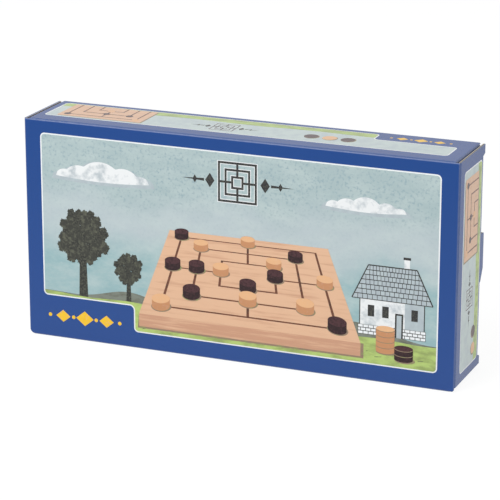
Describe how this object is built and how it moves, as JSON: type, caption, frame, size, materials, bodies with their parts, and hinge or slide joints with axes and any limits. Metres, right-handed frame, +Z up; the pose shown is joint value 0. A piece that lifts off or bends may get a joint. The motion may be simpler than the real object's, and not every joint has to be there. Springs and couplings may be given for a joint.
{
  "type": "nine mens morris box",
  "caption": "Upright tuck-end board game carton with hinged end closures, tuck tongues and dust flaps, holding a folding wooden mill board with latch and loose men.",
  "frame": {"origin": "middle of the base, on the surface that the carton stands on", "axes": "+Z up, +X along the length towards the right-hand closure, front print faces -Y"},
  "size_m": [0.29, 0.0521, 0.145],
  "materials": {
    "printed_board": "gloss laminated print outside, pale raw board inside",
    "beech": "satin lacquer",
    "line_stain": "dark stained wood inlay",
    "light_wood": "satin lacquer",
    "dark_wood": "dark stained, satin",
    "brass": "polished",
    "paper": "matt"
  },
  "bodies": {
    "carton": {"back_half_face_board": "beech", "back_half_hinge_rail": "beech", "back_half_latch_rail": "beech", "back_half_left_rail": "beech", "back_half_lines": "line_stain", "back_half_right_rail": "beech", "back_panel": "printed_board", "bottom_panel": "printed_board", "dark_men": "dark_wood", "front_half_face_board": "beech", "front_half_hinge_rail": "beech", "front_half_latch_rail": "beech", "front_half_left_rail": "beech", "front_half_lines": "line_stain", "front_half_right_rail": "beech", "front_panel": "printed_board", "glue_flap": "printed_board", "hinge_leaves_back": "brass", "hinge_leaves_front": "brass", "hinge_pins": "brass", "hinge_screws": "brass", "latch_keeper": "brass", "latch_nails": "brass", "latch_pivot_plate": "brass", "light_men": "light_wood", "rules_leaflet": "paper", "top_panel": "printed_board"},
    "right_closure": {"right_closure_panel": "printed_board"},
    "right_tongue": {"right_tuck_tongue": "printed_board"},
    "right_upper_dust": {"right_upper_dust_flap": "printed_board"},
    "right_lower_dust": {"right_lower_dust_flap": "printed_board"},
    "left_closure": {"left_closure_panel": "printed_board"},
    "left_tongue": {"left_tuck_tongue": "printed_board"},
    "left_upper_dust": {"left_upper_dust_flap": "printed_board"},
    "left_lower_dust": {"left_lower_dust_flap": "printed_board"},
    "latch_hook": {"latch_hook": "brass"}
  },
  "joints": [
    {"name": "right_closure_hinge", "type": "hinge", "parent": "carton", "child": "right_closure", "pos_m": [0.14456, -0.02451, 0.0725], "axis": [0, 0, -1], "range_deg": [0, 165]},
    {"name": "right_tongue_fold", "type": "hinge", "parent": "right_closure", "child": "right_tongue", "pos_m": [0.14345, 0.02105, 0.0725], "axis": [0, 0, 1], "range_deg": [0, 33.5]},
    {"name": "right_upper_dust_fold", "type": "hinge", "parent": "carton", "child": "right_upper_dust", "pos_m": [0.14186, 0, 0.14451], "axis": [0, -1, 0], "range_deg": [0, 83]},
    {"name": "right_lower_dust_fold", "type": "hinge", "parent": "carton", "child": "right_lower_dust", "pos_m": [0.14186, 0, 0.00049], "axis": [0, 1, 0], "range_deg": [0, 83]},
    {"name": "left_closure_hinge", "type": "hinge", "parent": "carton", "child": "left_closure", "pos_m": [-0.14456, -0.02451, 0.0725], "axis": [0, 0, 1], "range_deg": [0, 165]},
    {"name": "left_tongue_fold", "type": "hinge", "parent": "left_closure", "child": "left_tongue", "pos_m": [-0.14345, 0.02105, 0.0725], "axis": [0, 0, -1], "range_deg": [0, 33.5]},
    {"name": "left_upper_dust_fold", "type": "hinge", "parent": "carton", "child": "left_upper_dust", "pos_m": [-0.14186, 0, 0.14451], "axis": [0, 1, 0], "range_deg": [0, 83]},
    {"name": "left_lower_dust_fold", "type": "hinge", "parent": "carton", "child": "left_lower_dust", "pos_m": [-0.14186, 0, 0.00049], "axis": [0, -1, 0], "range_deg": [0, 83]},
    {"name": "latch_swing", "type": "hinge", "parent": "carton", "child": "latch_hook", "pos_m": [0, 0.0052, 0.1416], "axis": [0, 0, 1], "range_deg": [0, 75]}
  ],
  "couplings": [
    {"joint": "right_tongue_fold", "follows": "right_closure_hinge", "ratio": 0.2},
    {"joint": "right_upper_dust_fold", "follows": "right_closure_hinge", "ratio": 0.5},
    {"joint": "right_lower_dust_fold", "follows": "right_closure_hinge", "ratio": 0.5},
    {"joint": "left_tongue_fold", "follows": "left_closure_hinge", "ratio": 0.2},
    {"joint": "left_upper_dust_fold", "follows": "left_closure_hinge", "ratio": 0.5},
    {"joint": "left_lower_dust_fold", "follows": "left_closure_hinge", "ratio": 0.5}
  ]
}
